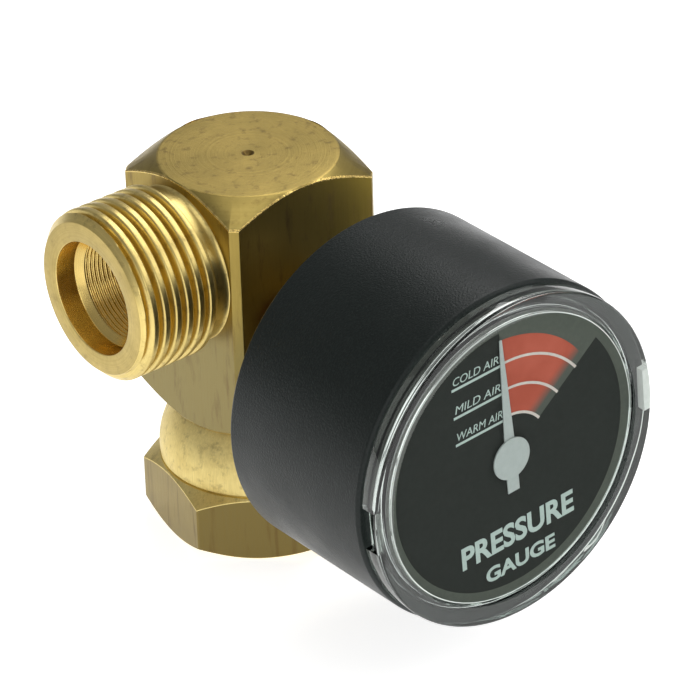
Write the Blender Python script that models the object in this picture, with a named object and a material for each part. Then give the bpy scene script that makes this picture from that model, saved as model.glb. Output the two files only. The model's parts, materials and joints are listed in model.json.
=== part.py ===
"""Inline gas gauge adaptor: a square brass block with a swivel inlet nut, a threaded
outlet and a round pressure gauge on its front.

Frame: the origin is the centre of the inlet washer's sealing face. +Z runs up the inlet
axis, the outlet points along -X and the gauge faces -Y. Sizes are in millimetres, and MM
turns them into metres where an object is made. Angles are in degrees.

Three empties carry the pieces. On each of them local Z is the axis of turning:
inlet_axis points up, outlet_axis points out of the outlet, and gauge_axis points out
through the dial, with local X to the right and local Y up. A height on an axis is the
distance from the block's centre line, or from the origin on the inlet axis.
"""
import math

import bmesh
import bpy
from mathutils import Vector

MM = 0.001
GAP = 0.3                      # left between pieces that touch
FINE = 0.15                    # left inside the gauge's movement
WELD = 0.00001                 # vertices nearer than this are one

# Block: a length of square bar, turned at both ends
BAR = 23.5
BAR_FACET = 0.95
BLOCK_TOP = 50.0
BLOCK_BOTTOM = 14.8
END_FLAT_RADIUS = 11.7
END_SLOPE = math.tan(math.radians(32.0))
CENTRE_MARK_RADIUS = 0.75
CENTRE_MARK_DEPTH = 0.6

# Inlet spigot, turned from the same bar
NECK_RADIUS = 8.6
FLANGE_RADIUS = 10.1
FLANGE_LOW, FLANGE_HIGH = 7.9, 10.9
NOSE_RADIUS = 7.2
NOSE_BOTTOM = 3.5
TUBE_RADIUS = 3.4
INLET_BORE_RADIUS = 2.4
WASHER_OUTER, WASHER_INNER = 7.3, 3.7

# Outlet: a male thread of five eighths pipe size, left handed
OUTLET_HEIGHT = 38.3
OUTLET_END = 25.7
OUTLET_END_RADIUS = 10.2
THREAD_RADIUS = 11.45
THREAD_RUNOUT = 14.4
UNDERCUT_RADIUS = 10.3
RECESS_RADIUS, RECESS_DEPTH = 7.6, 2.9
OUTLET_BORE_RADIUS, OUTLET_BORE_END = 6.7, 9.5
OUTLET_PASSAGE_RADIUS = 3.0

# Swivel nut
NUT_ACROSS_FLATS = 27.0
NUT_TURN = -11.0               # one corner, from -Y towards +X
NUT_TOP, NUT_BOTTOM = 14.4, -3.2
NUT_FACE_RADIUS = 13.3
HEX_SHOULDER_HEIGHT = 6.0
HEX_SLOPE = math.tan(math.radians(34.0))
DOME_RADIUS, DOME_HEIGHT, DOME_FALL = 13.3, 7.6, 0.0552
NUT_LIP_RADIUS, NUT_LIP_LOW = 9.0, 11.3
NUT_CAVITY_RADIUS, NUT_CAVITY_LOW = 10.6, 6.5
NUT_THREAD_RADIUS, NUT_MOUTH_RADIUS = 10.3, 11.6

# Gauge, along its own axis
GAUGE_HEIGHT = 27.6
GAUGE_TURN = 4.0               # screwed in this far to the left of upright
PORT_RADIUS, PORT_END = 5.0, 3.6
STEM_THREAD_RADIUS, STEM_THREAD_END = 4.7, 4.2
SEAL_RADIUS, SEAL_THICK = 7.4, 1.2
STEM_SQUARE, STEM_SQUARE_CUT, STEM_SQUARE_END = 14.0, 1.5, 21.8
STEM_NECK_RADIUS = 6.0
STEM_BORE_RADIUS = 1.0
RESTRICTOR_RADIUS, RESTRICTOR_LENGTH, RESTRICTOR_HOLE = 1.7, 2.7, 0.25
CASE_RADIUS, CASE_BACK, CASE_FRONT = 22.9, 23.4, 49.0
CASE_EDGE_RADIUS = 0.8
CASE_BORE_RADIUS, CASE_GROOVE = 20.7, 47.9
CASE_INSIDE_RADIUS = 19.6
CASE_LIP_OUTER, CASE_LIP_INNER, CASE_LIP, CASE_LIP_LOW = 19.8, 19.0, 48.9, 46.9
CASE_BACK_THICK = 2.2
DIAL_THICK, DIAL_RADIUS, DIAL_HOLE_RADIUS = 0.4, 19.8, 1.0
LENS_RADIUS, LENS_FRONT, LENS_THICK = 22.5, 52.0, 1.5
LENS_EDGE_RADIUS = 0.4
LENS_SKIRT_OUTER, LENS_SKIRT_INNER, LENS_SHOULDER_INNER = 20.5, 20.0, 19.5
LENS_NOTCH_RADIUS, LENS_NOTCH_WIDTH, LENS_NOTCH_FRONT = 21.3, 6.0, 51.5
POINTER_REST = 5.0             # to the left of upright
POINTER_LENGTH, POINTER_TAIL = 17.4, 4.6
POINTER_TAIL_HALF, POINTER_ROOT_HALF, POINTER_TIP_HALF = 0.75, 0.62, 0.2
POINTER_LIFT, POINTER_THICK = 0.15, 0.25
POINTER_HUB_RADIUS, POINTER_HUB_THICK, POINTER_HUB_CAP = 2.9, 0.4, 0.1

# Gauge movement
SOCKET_HALF_WIDTH = 5.5
SOCKET_LOW, SOCKET_HIGH = -18.6, 11.2
SOCKET_FRONT = 34.2
POCKET_X, POCKET_Y = (-6.5, -1.5), (-17.3, -13.2)
CHANNEL_X, CHANNEL_Y = (-2.2, -0.9), (-14.0, 0.5)
TUBE_TURN_RADIUS = 15.6
TUBE_HALF_WIDTH, TUBE_HALF_THICK = 3.0, 0.9
TUBE_ROOT, TUBE_TIP = -98.0, -362.0
TUBE_MIDDLE = 30.05
PLATE_THICK = 0.8
BACK_PLATE = 34.5
FRONT_PLATE = 42.5
PLATE_OUTLINE = ((-10, -4), (-10, 6), (-6, 10), (5, 10), (10, 5), (11, -10), (8, -12.8), (-4, -12.8))
PILLARS = {"left": (-7.6, 4.6), "right": (7.4, 5.6)}
PILLAR_RADIUS = 1.4
STOP_PIN_RADIUS, STOP_PIN_REACH = 0.4, 7.0

# Screws: where they are, and for each kind the head, shank, hole, head's height and slot
MOVEMENT_SCREWS = {"top": (-3.0, 8.0), "bottom": (-2.6, -10.4)}
CASE_SCREWS = {"top": (0.0, 9.0), "bottom": (0.0, -9.6)}
CASE_SCREW = {"head": 2.6, "shank": 1.05, "hole": 1.35, "crown": 1.5, "slot": 0.6}
MOVEMENT_SCREW = {"head": 1.4, "shank": 0.7, "hole": 0.95, "crown": 0.8, "slot": 0.35}
PLATE_SCREW = {"head": 1.3, "shank": 0.5, "hole": 0.75, "crown": 0.8, "slot": 0.35}
CASE_SCREW_HOLE = 1.9          # through the case's back

# Gear train
MODULE = 0.25
PINION_TEETH, SECTOR_TEETH = 12, 72
SECTOR_DIRECTION = -50.0       # from the pinion to the sector's pivot
SECTOR_ARC = (106.0, 139.0)
GEAR_HEIGHT, GEAR_THICK = 37.0, 0.8
TAIL_REACH, TAIL_DIRECTION = 4.5, -60.0
LINK_END = (15.2, -3.0)
LINK_HEIGHT, LINK_THICK = 38.1, 0.5
SHAFT_RADIUS, ARBOR_RADIUS = 0.4, 0.6
SHAFT_HOLE, ARBOR_HOLE = 0.6, 0.8
TOOTH_OUT, TOOTH_IN = 0.2, 0.32
LINK_HALF_WIDTH, LINK_PIN_RADIUS = 0.8, 0.35
SPRING_HEIGHT, SPRING_WIDTH = 39.9, 0.6
SPRING_INNER, SPRING_OUTER, SPRING_TURNS = 1.6, 5.2, 2.75
SPRING_END = 150.0

COLOURS = {
    "brass": ((0.60, 0.43, 0.15), 0.32, 1.0),
    "brass_bright": ((0.80, 0.60, 0.26), 0.22, 1.0),
    "rubber": ((0.02, 0.02, 0.02), 0.7, 0.0),
    "fibre": ((0.35, 0.10, 0.05), 0.8, 0.0),
    "black_plastic": ((0.02, 0.021, 0.023), 0.55, 0.0),
    "clear_plastic": ((0.92, 0.95, 0.95), 0.05, 0.0),
    "dial_black": ((0.012, 0.013, 0.013), 0.4, 0.0),
    "pointer_white": ((0.62, 0.68, 0.64), 0.5, 0.0),
    "bronze": ((0.62, 0.38, 0.20), 0.35, 1.0),
    "steel": ((0.55, 0.55, 0.56), 0.35, 1.0),
}


# ---------------------------------------------------------------- tools

def clear_scene():
    for old in list(bpy.data.objects):
        bpy.data.objects.remove(old, do_unlink=True)


def material(name):
    found = bpy.data.materials.get(name)
    if found:
        return found
    colour, roughness, metallic = COLOURS[name]
    made = bpy.data.materials.new(name)
    made.use_nodes = True
    shader = made.node_tree.nodes["Principled BSDF"]
    shader.inputs["Base Color"].default_value = (*colour, 1.0)
    shader.inputs["Roughness"].default_value = roughness
    shader.inputs["Metallic"].default_value = metallic
    if name == "clear_plastic":
        shader.inputs["Alpha"].default_value = 0.3
    return made


def axis_empty(name, location, turn):
    """An empty at a point in millimetres, turned by degrees about X, Y and Z."""
    empty = bpy.data.objects.new(name, None)
    empty.location = Vector(location) * MM
    empty.rotation_euler = [math.radians(angle) for angle in turn]
    bpy.context.scene.collection.objects.link(empty)
    return empty


def add_object(name, shape, slot, axis, at=(0.0, 0.0)):
    """Turn a bmesh in millimetres into an object on an axis, its origin at a point."""
    bmesh.ops.remove_doubles(shape, verts=shape.verts, dist=WELD)
    bmesh.ops.recalc_face_normals(shape, faces=shape.faces)
    bmesh.ops.scale(shape, vec=(MM, MM, MM), verts=shape.verts)
    mesh = bpy.data.meshes.new(name)
    shape.to_mesh(mesh)
    shape.free()
    mesh.shade_smooth()
    mesh.set_sharp_from_angle(angle=math.radians(35))
    mesh.materials.append(material(slot))
    made = bpy.data.objects.new(name, mesh)
    made.parent = axis
    made.location = (at[0] * MM, at[1] * MM, 0.0)
    bpy.context.scene.collection.objects.link(made)
    return made


def combine(target, shape, operation, axis=None, at=(0.0, 0.0)):
    """Cut, join or intersect an object with a bmesh, through a hidden guide object."""
    guide = add_object("guide", shape, target.data.materials[0].name, axis or target.parent, at)
    guide.hide_render = True
    guide.display_type = "WIRE"
    step = target.modifiers.new(operation.lower(), "BOOLEAN")
    step.operation = operation
    step.solver = "EXACT"
    step.object = guide


def turned(outline, segments=32, phase=0.5):
    """A solid turned about Z from a closed outline of (radius, height) points.

    The phase turns the facets by a share of one, so that a cutter's edges miss its target's.
    """
    shape = bmesh.new()
    rings = []
    for radius, height in outline:
        if radius == 0:
            rings.append([shape.verts.new((0, 0, height))] * segments)
            continue
        angles = [2 * math.pi * (step + phase) / segments for step in range(segments)]
        rings.append([shape.verts.new((radius * math.cos(a), radius * math.sin(a), height))
                      for a in angles])
    for ring, following in zip(rings, rings[1:] + rings[:1]):
        for here in range(segments):
            after = (here + 1) % segments
            corners = [ring[here], ring[after], following[after], following[here]]
            corners = list(dict.fromkeys(corners))
            if len(corners) > 2:
                shape.faces.new(corners)
    return shape


def rod(radius, low, high, segments=16, phase=0.3):
    return turned([(0, low), (radius, low), (radius, high), (0, high)], segments, phase)


def ring(outer, inner, low, high, segments=32):
    return turned([(inner, low), (outer, low), (outer, high), (inner, high)], segments)


def prism(outline, low, high):
    """A flat outline in X and Y, extruded between two heights."""
    shape = bmesh.new()
    face = shape.faces.new([shape.verts.new((x, y, low)) for x, y in outline])
    grown = bmesh.ops.extrude_face_region(shape, geom=[face])["geom"]
    corners = [part for part in grown if isinstance(part, bmesh.types.BMVert)]
    bmesh.ops.translate(shape, vec=(0, 0, high - low), verts=corners)
    return shape


def block(x, y, z):
    """A box from its low and high limits on each axis."""
    return prism([(x[0], y[0]), (x[1], y[0]), (x[1], y[1]), (x[0], y[1])], z[0], z[1])


def polar(radius, degrees):
    angle = math.radians(degrees)
    return Vector((radius * math.cos(angle), radius * math.sin(angle)))


def arc(centre, radius, first, last, steps):
    """Points on an arc, as (x, y) or as (radius, height)."""
    return [tuple(Vector(centre) + polar(radius, first + (last - first) * step / steps))
            for step in range(steps + 1)]


def bar_between(start, end, half_width, low, high):
    """A flat strip with round ends, laid from one point to another."""
    start, end = Vector(start), Vector(end)
    heading = math.degrees(math.atan2(end.y - start.y, end.x - start.x))
    outline = arc(end, half_width, heading - 90, heading + 90, 8)
    outline += arc(start, half_width, heading + 90, heading + 270, 8)
    return prism(outline, low, high)


# ---------------------------------------------------------------- block and inlet

def end_slope(radius, wide, face, side, slope):
    """Two points of a turned chamfer that falls away from a face's edge."""
    return [(radius, face), (wide, face - side * (wide - radius) * slope)]


def make_body_block(inlet, outlet, gauge):
    half, facet = BAR / 2, BAR_FACET
    square = [(facet - half, -half), (half - facet, -half), (half, facet - half), (half, half - facet),
              (half - facet, half), (facet - half, half), (-half, half - facet), (-half, facet - half)]
    body = add_object("body_block", prism(square, -5, BLOCK_TOP + 5), "brass", inlet)
    beyond = BAR
    envelope = [(0, GAP), (TUBE_RADIUS, GAP), (TUBE_RADIUS, NOSE_BOTTOM), (NOSE_RADIUS, NOSE_BOTTOM),
                (NOSE_RADIUS, FLANGE_LOW), (FLANGE_RADIUS, FLANGE_LOW), (FLANGE_RADIUS, FLANGE_HIGH),
                (NECK_RADIUS, FLANGE_HIGH), (NECK_RADIUS, BLOCK_BOTTOM)]
    envelope += end_slope(END_FLAT_RADIUS, beyond, BLOCK_BOTTOM, -1, END_SLOPE)
    envelope += reversed(end_slope(END_FLAT_RADIUS, beyond, BLOCK_TOP, 1, END_SLOPE))
    envelope += [(CENTRE_MARK_RADIUS, BLOCK_TOP), (0, BLOCK_TOP - CENTRE_MARK_DEPTH)]
    combine(body, turned(envelope, 48), "INTERSECT")
    stub = [(0, half - 3), (UNDERCUT_RADIUS, half - 3), (UNDERCUT_RADIUS, THREAD_RUNOUT),
            (THREAD_RADIUS, THREAD_RUNOUT + 0.6), (THREAD_RADIUS, OUTLET_END - 1.3),
            (OUTLET_END_RADIUS, OUTLET_END), (0, OUTLET_END)]
    combine(body, turned(stub, 36), "UNION", outlet)
    recess_floor = OUTLET_END - RECESS_DEPTH
    bore = [(0, -OUTLET_PASSAGE_RADIUS), (OUTLET_PASSAGE_RADIUS, -OUTLET_PASSAGE_RADIUS),
            (OUTLET_PASSAGE_RADIUS, OUTLET_BORE_END - 1.5), (OUTLET_BORE_RADIUS, OUTLET_BORE_END),
            (OUTLET_BORE_RADIUS, recess_floor - 0.9), (RECESS_RADIUS, recess_floor),
            (RECESS_RADIUS, OUTLET_END + 1), (0, OUTLET_END + 1)]
    combine(body, rod(INLET_BORE_RADIUS, -1, OUTLET_HEIGHT + 1, 16), "DIFFERENCE")
    combine(body, turned(bore, 32, 0.25), "DIFFERENCE", outlet)
    port = [(0, -1), (INLET_BORE_RADIUS - 0.6, -1), (INLET_BORE_RADIUS - 0.6, PORT_END - 0.8),
            (PORT_RADIUS, PORT_END), (PORT_RADIUS, half - 0.6), (PORT_RADIUS + 0.8, half + 0.2),
            (PORT_RADIUS + 0.8, half + 1), (0, half + 1)]
    combine(body, turned(port, 24), "DIFFERENCE", gauge)


def make_inlet_washer(inlet):
    add_object("inlet_washer", ring(WASHER_OUTER, WASHER_INNER, 0, NOSE_BOTTOM - GAP, 32), "rubber", inlet)


def make_inlet_nut(inlet):
    corner = NUT_ACROSS_FLATS / math.sqrt(3)
    hexagon = [tuple(polar(corner, NUT_TURN - 90 + 60 * side)) for side in range(6)]
    nut = add_object("inlet_nut", prism(hexagon, NUT_BOTTOM - 5, NUT_TOP + 5), "brass", inlet)
    beyond = NUT_ACROSS_FLATS * 0.65
    envelope = [(0, NUT_BOTTOM)] + end_slope(NUT_FACE_RADIUS, beyond, NUT_BOTTOM, -1, HEX_SLOPE)
    envelope += reversed(end_slope(NUT_FACE_RADIUS, beyond, HEX_SHOULDER_HEIGHT, 1, HEX_SLOPE))
    steps = 6
    low, high = HEX_SHOULDER_HEIGHT, NUT_TOP - 0.4
    for step in range(steps + 1):
        height = low + (high - low) * step / steps
        envelope.append((DOME_RADIUS - DOME_FALL * (height - DOME_HEIGHT) ** 2, height))
    envelope += [(envelope[-1][0] - 0.4, NUT_TOP), (0, NUT_TOP)]
    combine(nut, turned(envelope, 48), "INTERSECT")
    bore = [(0, NUT_BOTTOM - 1), (NUT_MOUTH_RADIUS + 1, NUT_BOTTOM - 1),
            (NUT_THREAD_RADIUS, NUT_BOTTOM + 1.3), (NUT_THREAD_RADIUS, NUT_CAVITY_LOW),
            (NUT_CAVITY_RADIUS, NUT_CAVITY_LOW + 0.3),
            (NUT_CAVITY_RADIUS, NUT_LIP_LOW), (NUT_LIP_RADIUS, NUT_LIP_LOW),
            (NUT_LIP_RADIUS, NUT_TOP + 1), (0, NUT_TOP + 1)]
    combine(nut, turned(bore, 32), "DIFFERENCE")


# ---------------------------------------------------------------- gauge housing

def make_gauge_stem(gauge):
    face = BAR / 2
    flange = face + SEAL_THICK + 2 * GAP
    half, cut = STEM_SQUARE / 2, STEM_SQUARE_CUT
    square = [(cut - half, -half), (half - cut, -half), (half, cut - half), (half, half - cut),
              (half - cut, half), (cut - half, half), (-half, half - cut), (-half, cut - half)]
    stem = add_object("gauge_stem", prism(square, flange, STEM_SQUARE_END), "brass", gauge)
    screw = [(0, STEM_THREAD_END), (STEM_THREAD_RADIUS - 0.6, STEM_THREAD_END),
             (STEM_THREAD_RADIUS, STEM_THREAD_END + 0.7), (STEM_THREAD_RADIUS, flange - 1),
             (STEM_THREAD_RADIUS - 0.5, flange - 0.5), (STEM_THREAD_RADIUS - 0.5, flange + 1),
             (0, flange + 1)]
    combine(stem, turned(screw, 32), "UNION")
    inside = CASE_BACK + CASE_BACK_THICK + GAP
    combine(stem, rod(STEM_NECK_RADIUS, STEM_SQUARE_END - 1, inside + 1, 32), "UNION")
    width = (-SOCKET_HALF_WIDTH, SOCKET_HALF_WIDTH)
    combine(stem, block(width, (SOCKET_LOW, SOCKET_HIGH), (inside, SOCKET_FRONT)), "UNION")
    counterbore_end = STEM_THREAD_END + RESTRICTOR_LENGTH + 2 * GAP
    combine(stem, rod(RESTRICTOR_RADIUS + GAP, STEM_THREAD_END - 1, counterbore_end, 20), "DIFFERENCE")
    combine(stem, rod(STEM_BORE_RADIUS, STEM_THREAD_END, TUBE_MIDDLE, 16), "DIFFERENCE")
    reach = TUBE_HALF_WIDTH + GAP
    pocket = block(POCKET_X, POCKET_Y, (TUBE_MIDDLE - reach, TUBE_MIDDLE + reach))
    combine(stem, pocket, "DIFFERENCE")
    channel = block(CHANNEL_X, CHANNEL_Y, (TUBE_MIDDLE - 1.6, TUBE_MIDDLE - 0.3))
    combine(stem, channel, "DIFFERENCE")
    for place in CASE_SCREWS.values():
        combine(stem, rod(CASE_SCREW["hole"], inside - 1, inside + 5.5, 12), "DIFFERENCE", at=place)
    for place in MOVEMENT_SCREWS.values():
        hole = rod(MOVEMENT_SCREW["hole"], SOCKET_FRONT - 3.2, SOCKET_FRONT + 1, 12)
        combine(stem, hole, "DIFFERENCE", at=place)


def make_stem_seal(gauge):
    low = BAR / 2 + GAP
    seal = ring(SEAL_RADIUS, PORT_RADIUS + 0.1, low, low + SEAL_THICK)
    add_object("stem_seal", seal, "fibre", gauge)


def make_restrictor_screw(gauge):
    low = STEM_THREAD_END + GAP
    high = low + RESTRICTOR_LENGTH
    bored = ring(RESTRICTOR_RADIUS, RESTRICTOR_HOLE, low, high, 20)
    screw = add_object("restrictor_screw", bored, "brass_bright", gauge)
    slot = block((-3, 3), (-RESTRICTOR_HOLE, RESTRICTOR_HOLE), (low - 1, low + 0.6))
    combine(screw, slot, "DIFFERENCE")


def make_gauge_case(gauge):
    edge = CASE_EDGE_RADIUS
    inside = CASE_BACK + CASE_BACK_THICK
    outline = [(STEM_NECK_RADIUS + GAP, inside), (STEM_NECK_RADIUS + GAP, CASE_BACK)]
    outline += arc((CASE_RADIUS - edge, CASE_BACK + edge), edge, -90, 0, 3)
    outline += arc((CASE_RADIUS - edge / 2, CASE_FRONT - edge / 2), edge / 2, 0, 90, 2)
    outline += [(CASE_BORE_RADIUS, CASE_FRONT), (CASE_BORE_RADIUS, CASE_GROOVE),
                (CASE_LIP_OUTER, CASE_GROOVE), (CASE_LIP_OUTER, CASE_LIP),
                (CASE_LIP_INNER, CASE_LIP), (CASE_LIP_INNER, CASE_LIP_LOW),
                (CASE_INSIDE_RADIUS, CASE_LIP_LOW - 0.6), (CASE_INSIDE_RADIUS, inside)]
    case = add_object("gauge_case", turned(outline, 48), "black_plastic", gauge)
    for place in CASE_SCREWS.values():
        combine(case, rod(CASE_SCREW_HOLE, CASE_BACK - 1, inside + 1, 16), "DIFFERENCE", at=place)


def make_pan_screw(name, gauge, kind, at, seat, tip):
    """A slotted pan-head screw: its head sits on seat, and its shank ends at tip."""
    head, shank = kind["head"], kind["shank"]
    crown = kind["crown"] if seat > tip else -kind["crown"]
    top = seat + crown
    outline = [(0, tip), (shank, tip), (shank, seat), (head, seat),
               (head, seat + crown * 0.5), (head * 0.7, top), (0, top)]
    screw = add_object(name, turned(outline, 12), "steel", gauge, at)
    half = kind["slot"] / 2
    slot = block((-head * 2, head * 2), (-half, half), sorted((top - crown * 0.5, top + crown)))
    combine(screw, slot, "DIFFERENCE", at=at)


def make_screws(gauge):
    inside = CASE_BACK + CASE_BACK_THICK
    for end, place in CASE_SCREWS.items():
        make_pan_screw("case_screw_" + end, gauge, CASE_SCREW, place, CASE_BACK - GAP, inside + 4.5)
    seat = BACK_PLATE + PLATE_THICK + FINE
    for end, place in MOVEMENT_SCREWS.items():
        make_pan_screw("movement_screw_" + end, gauge, MOVEMENT_SCREW, place, seat, SOCKET_FRONT - 2.8)
    seat = FRONT_PLATE + PLATE_THICK + FINE
    for side, place in PILLARS.items():
        make_pan_screw("plate_screw_" + side, gauge, PLATE_SCREW, place, seat, FRONT_PLATE - 3.5)


def make_dial_plate(gauge):
    """A disc on the case's inner lip."""
    low = CASE_LIP + GAP
    dial = ring(DIAL_RADIUS, DIAL_HOLE_RADIUS, low, low + DIAL_THICK, 48)
    add_object("dial_plate", dial, "dial_black", gauge)


def dial_front():
    return CASE_LIP + GAP + DIAL_THICK


def pointer_front():
    return dial_front() + POINTER_LIFT + POINTER_HUB_THICK + FINE


def make_lens(gauge):
    """A flat window with a thick rim on the case, a skirt in its groove and a shoulder on the dial."""
    back = LENS_FRONT - LENS_THICK
    rim = CASE_FRONT + GAP
    shoulder, skirt = dial_front() + GAP, CASE_GROOVE + GAP
    outline = [(0, back), (LENS_SHOULDER_INNER, back), (LENS_SHOULDER_INNER, shoulder),
               (LENS_SKIRT_INNER, shoulder), (LENS_SKIRT_INNER, skirt), (LENS_SKIRT_OUTER, skirt),
               (LENS_SKIRT_OUTER, rim), (LENS_RADIUS, rim)]
    edge = LENS_EDGE_RADIUS
    outline += arc((LENS_RADIUS - edge, LENS_FRONT - edge), edge, 0, 90, 3)
    outline += [(0, LENS_FRONT)]
    lens = add_object("lens", turned(outline, 48), "clear_plastic", gauge)
    for side in (0, 180):
        outward, across = polar(1, side + GAUGE_TURN), polar(1, side + GAUGE_TURN + 90)
        near, far = outward * LENS_NOTCH_RADIUS, outward * (LENS_RADIUS + 1)
        half = across * LENS_NOTCH_WIDTH / 2
        notch = prism([near - half, far - half, far + half, near + half], rim - 1, LENS_NOTCH_FRONT)
        combine(lens, notch, "DIFFERENCE")


# ---------------------------------------------------------------- gauge movement

def make_bourdon_tube(gauge):
    """A flattened tube bent round most of a circle, drawn as its oval section swept on an arc."""
    steps, around = 32, 8
    shape = bmesh.new()
    sections = []
    for step in range(steps + 1):
        along = TUBE_ROOT + (TUBE_TIP - TUBE_ROOT) * step / steps
        section = []
        for side in range(around):
            angle = 2 * math.pi * side / around
            spot = polar(TUBE_TURN_RADIUS + TUBE_HALF_THICK * math.cos(angle), along)
            section.append(shape.verts.new((spot.x, spot.y, TUBE_MIDDLE + TUBE_HALF_WIDTH * math.sin(angle))))
        sections.append(section)
    for first, second in zip(sections, sections[1:]):
        for side in range(around):
            after = (side + 1) % around
            shape.faces.new((first[side], first[after], second[after], second[side]))
    shape.faces.new(sections[0])
    shape.faces.new(sections[-1])
    add_object("bourdon_tube", shape, "bronze", gauge)


def make_tube_tip(gauge):
    """The plug brazed into the tube's free end, with a lug that carries the link's pin."""
    start = TUBE_TIP - 1.4
    outer, inner = TUBE_TURN_RADIUS + 1.3, TUBE_TURN_RADIUS - 1.3
    outline = arc((0, 0), outer, start, start - 12, 4) + arc((0, 0), inner, start - 12, start, 4)
    tip = add_object("tube_tip", prism(outline, TUBE_MIDDLE - 3, LINK_HEIGHT - 0.4), "brass_bright", gauge)
    pin = rod(LINK_PIN_RADIUS, LINK_HEIGHT - 1, LINK_HEIGHT + LINK_THICK + 0.4, 12)
    combine(tip, pin, "UNION", at=LINK_END)


def tooth_points(pitch_radius, centre_angle):
    """The four corners of one straight-sided tooth, in order of rising angle."""
    root, tip = pitch_radius - TOOTH_IN, pitch_radius + TOOTH_OUT
    half = math.degrees(MODULE * 0.625 / pitch_radius)
    return [polar(root, centre_angle - half * 1.5), polar(tip, centre_angle - half * 0.45),
            polar(tip, centre_angle + half * 0.45), polar(root, centre_angle + half * 1.5)]


def sector_pivot():
    return polar(MODULE * (PINION_TEETH + SECTOR_TEETH) / 2, SECTOR_DIRECTION)


def make_pinion_shaft(gauge):
    pitch = MODULE * PINION_TEETH / 2
    spacing = 360 / PINION_TEETH
    outline = []
    for tooth in range(PINION_TEETH):
        # a space, not a tooth, faces the sector
        middle = SECTOR_DIRECTION + spacing * (tooth + 0.5)
        outline += tooth_points(pitch, middle)
    low, high = GEAR_HEIGHT - FINE, GEAR_HEIGHT + GEAR_THICK + FINE
    shaft = add_object("pinion_shaft", prism(outline, low, high), "brass_bright", gauge)
    end, front = BACK_PLATE + 0.1, pointer_front() - POINTER_HUB_CAP - FINE
    collar, below, above = 1.2, SPRING_HEIGHT - 0.4, SPRING_HEIGHT + 1.0
    core = [(0, end), (SHAFT_RADIUS, end), (SHAFT_RADIUS, below), (collar, below),
            (collar, above), (SHAFT_RADIUS, above), (SHAFT_RADIUS, front), (0, front)]
    combine(shaft, turned(core, 16), "UNION")


def make_sector_gear(gauge):
    """A toothed sector on its arbor, with a tail that the link pulls."""
    pitch = MODULE * SECTOR_TEETH / 2
    spacing = 360 / SECTOR_TEETH
    facing = SECTOR_DIRECTION + 180
    low_arc, high_arc = SECTOR_ARC
    first = math.ceil((low_arc - facing) / spacing)
    last = math.floor((high_arc - facing) / spacing)
    outline = [polar(1.6, low_arc - 30), polar(pitch - 0.4, low_arc - 1)]
    for tooth in range(first, last + 1):
        outline += tooth_points(pitch, facing + tooth * spacing)
    outline += [polar(pitch - 0.4, high_arc + 1), polar(1.6, high_arc + 30)]
    outline += [polar(1.6, facing + 180)]
    high = GEAR_HEIGHT + GEAR_THICK
    pivot = sector_pivot()
    gear = add_object("sector_gear", prism(outline, GEAR_HEIGHT, high), "brass_bright", gauge, pivot)
    tail_end = polar(TAIL_REACH, TAIL_DIRECTION)
    combine(gear, bar_between((0, 0), tail_end, 1.1, GEAR_HEIGHT + 0.05, high - 0.05), "UNION", at=pivot)
    arbor = rod(ARBOR_RADIUS, BACK_PLATE + 0.1, FRONT_PLATE + PLATE_THICK, 16)
    combine(gear, arbor, "UNION", at=pivot)
    pin_hole = rod(0.55, GEAR_HEIGHT - 1, high + 1, 12)
    combine(gear, pin_hole, "DIFFERENCE", at=pivot + tail_end)


def make_link(gauge):
    """A strip from the sector's tail to the tube's tip, slotted where the tip's pin stands."""
    start = sector_pivot() + polar(TAIL_REACH, TAIL_DIRECTION)
    end = Vector(LINK_END) - start
    high = LINK_HEIGHT + LINK_THICK
    strip = bar_between((0, 0), end, LINK_HALF_WIDTH, LINK_HEIGHT, high)
    link = add_object("link", strip, "steel", gauge, start)
    heading = end.normalized()
    eye = bar_between(end - heading * 1.6, end + heading * 0.2, 1.5, LINK_HEIGHT + 0.02, high - 0.02)
    combine(link, eye, "UNION", at=start)
    slot = bar_between(end - heading * 1.5, end, 0.85, LINK_HEIGHT - 1, high + 1)
    combine(link, slot, "DIFFERENCE", at=start)
    combine(link, rod(LINK_PIN_RADIUS, GEAR_HEIGHT - 0.2, LINK_HEIGHT + 0.2, 12), "UNION", at=start)


def make_hairspring(gauge):
    """A flat spiral strip whose outer end reaches its stud."""
    per_turn, thick = 18, 0.2
    steps = round(SPRING_TURNS * per_turn)
    shape = bmesh.new()
    sections = []
    for step in range(steps + 1):
        share = step / steps
        angle = SPRING_END - 360 * SPRING_TURNS * (1 - share)
        radius = SPRING_INNER + (SPRING_OUTER - SPRING_INNER) * share
        corners = ((radius - thick / 2, 0), (radius + thick / 2, 0),
                   (radius + thick / 2, SPRING_WIDTH), (radius - thick / 2, SPRING_WIDTH))
        sections.append([shape.verts.new((*polar(r, angle), SPRING_HEIGHT + h)) for r, h in corners])
    for first, second in zip(sections, sections[1:]):
        for side in range(4):
            after = (side + 1) % 4
            shape.faces.new((first[side], first[after], second[after], second[side]))
    shape.faces.new(sections[0])
    shape.faces.new(sections[-1])
    add_object("hairspring", shape, "bronze", gauge)
    at = polar(SPRING_OUTER + 0.75, SPRING_END)
    stud = rod(0.5, SPRING_HEIGHT - 0.3, FRONT_PLATE - FINE, 12)
    add_object("hairspring_stud", stud, "brass_bright", gauge, at)


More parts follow.
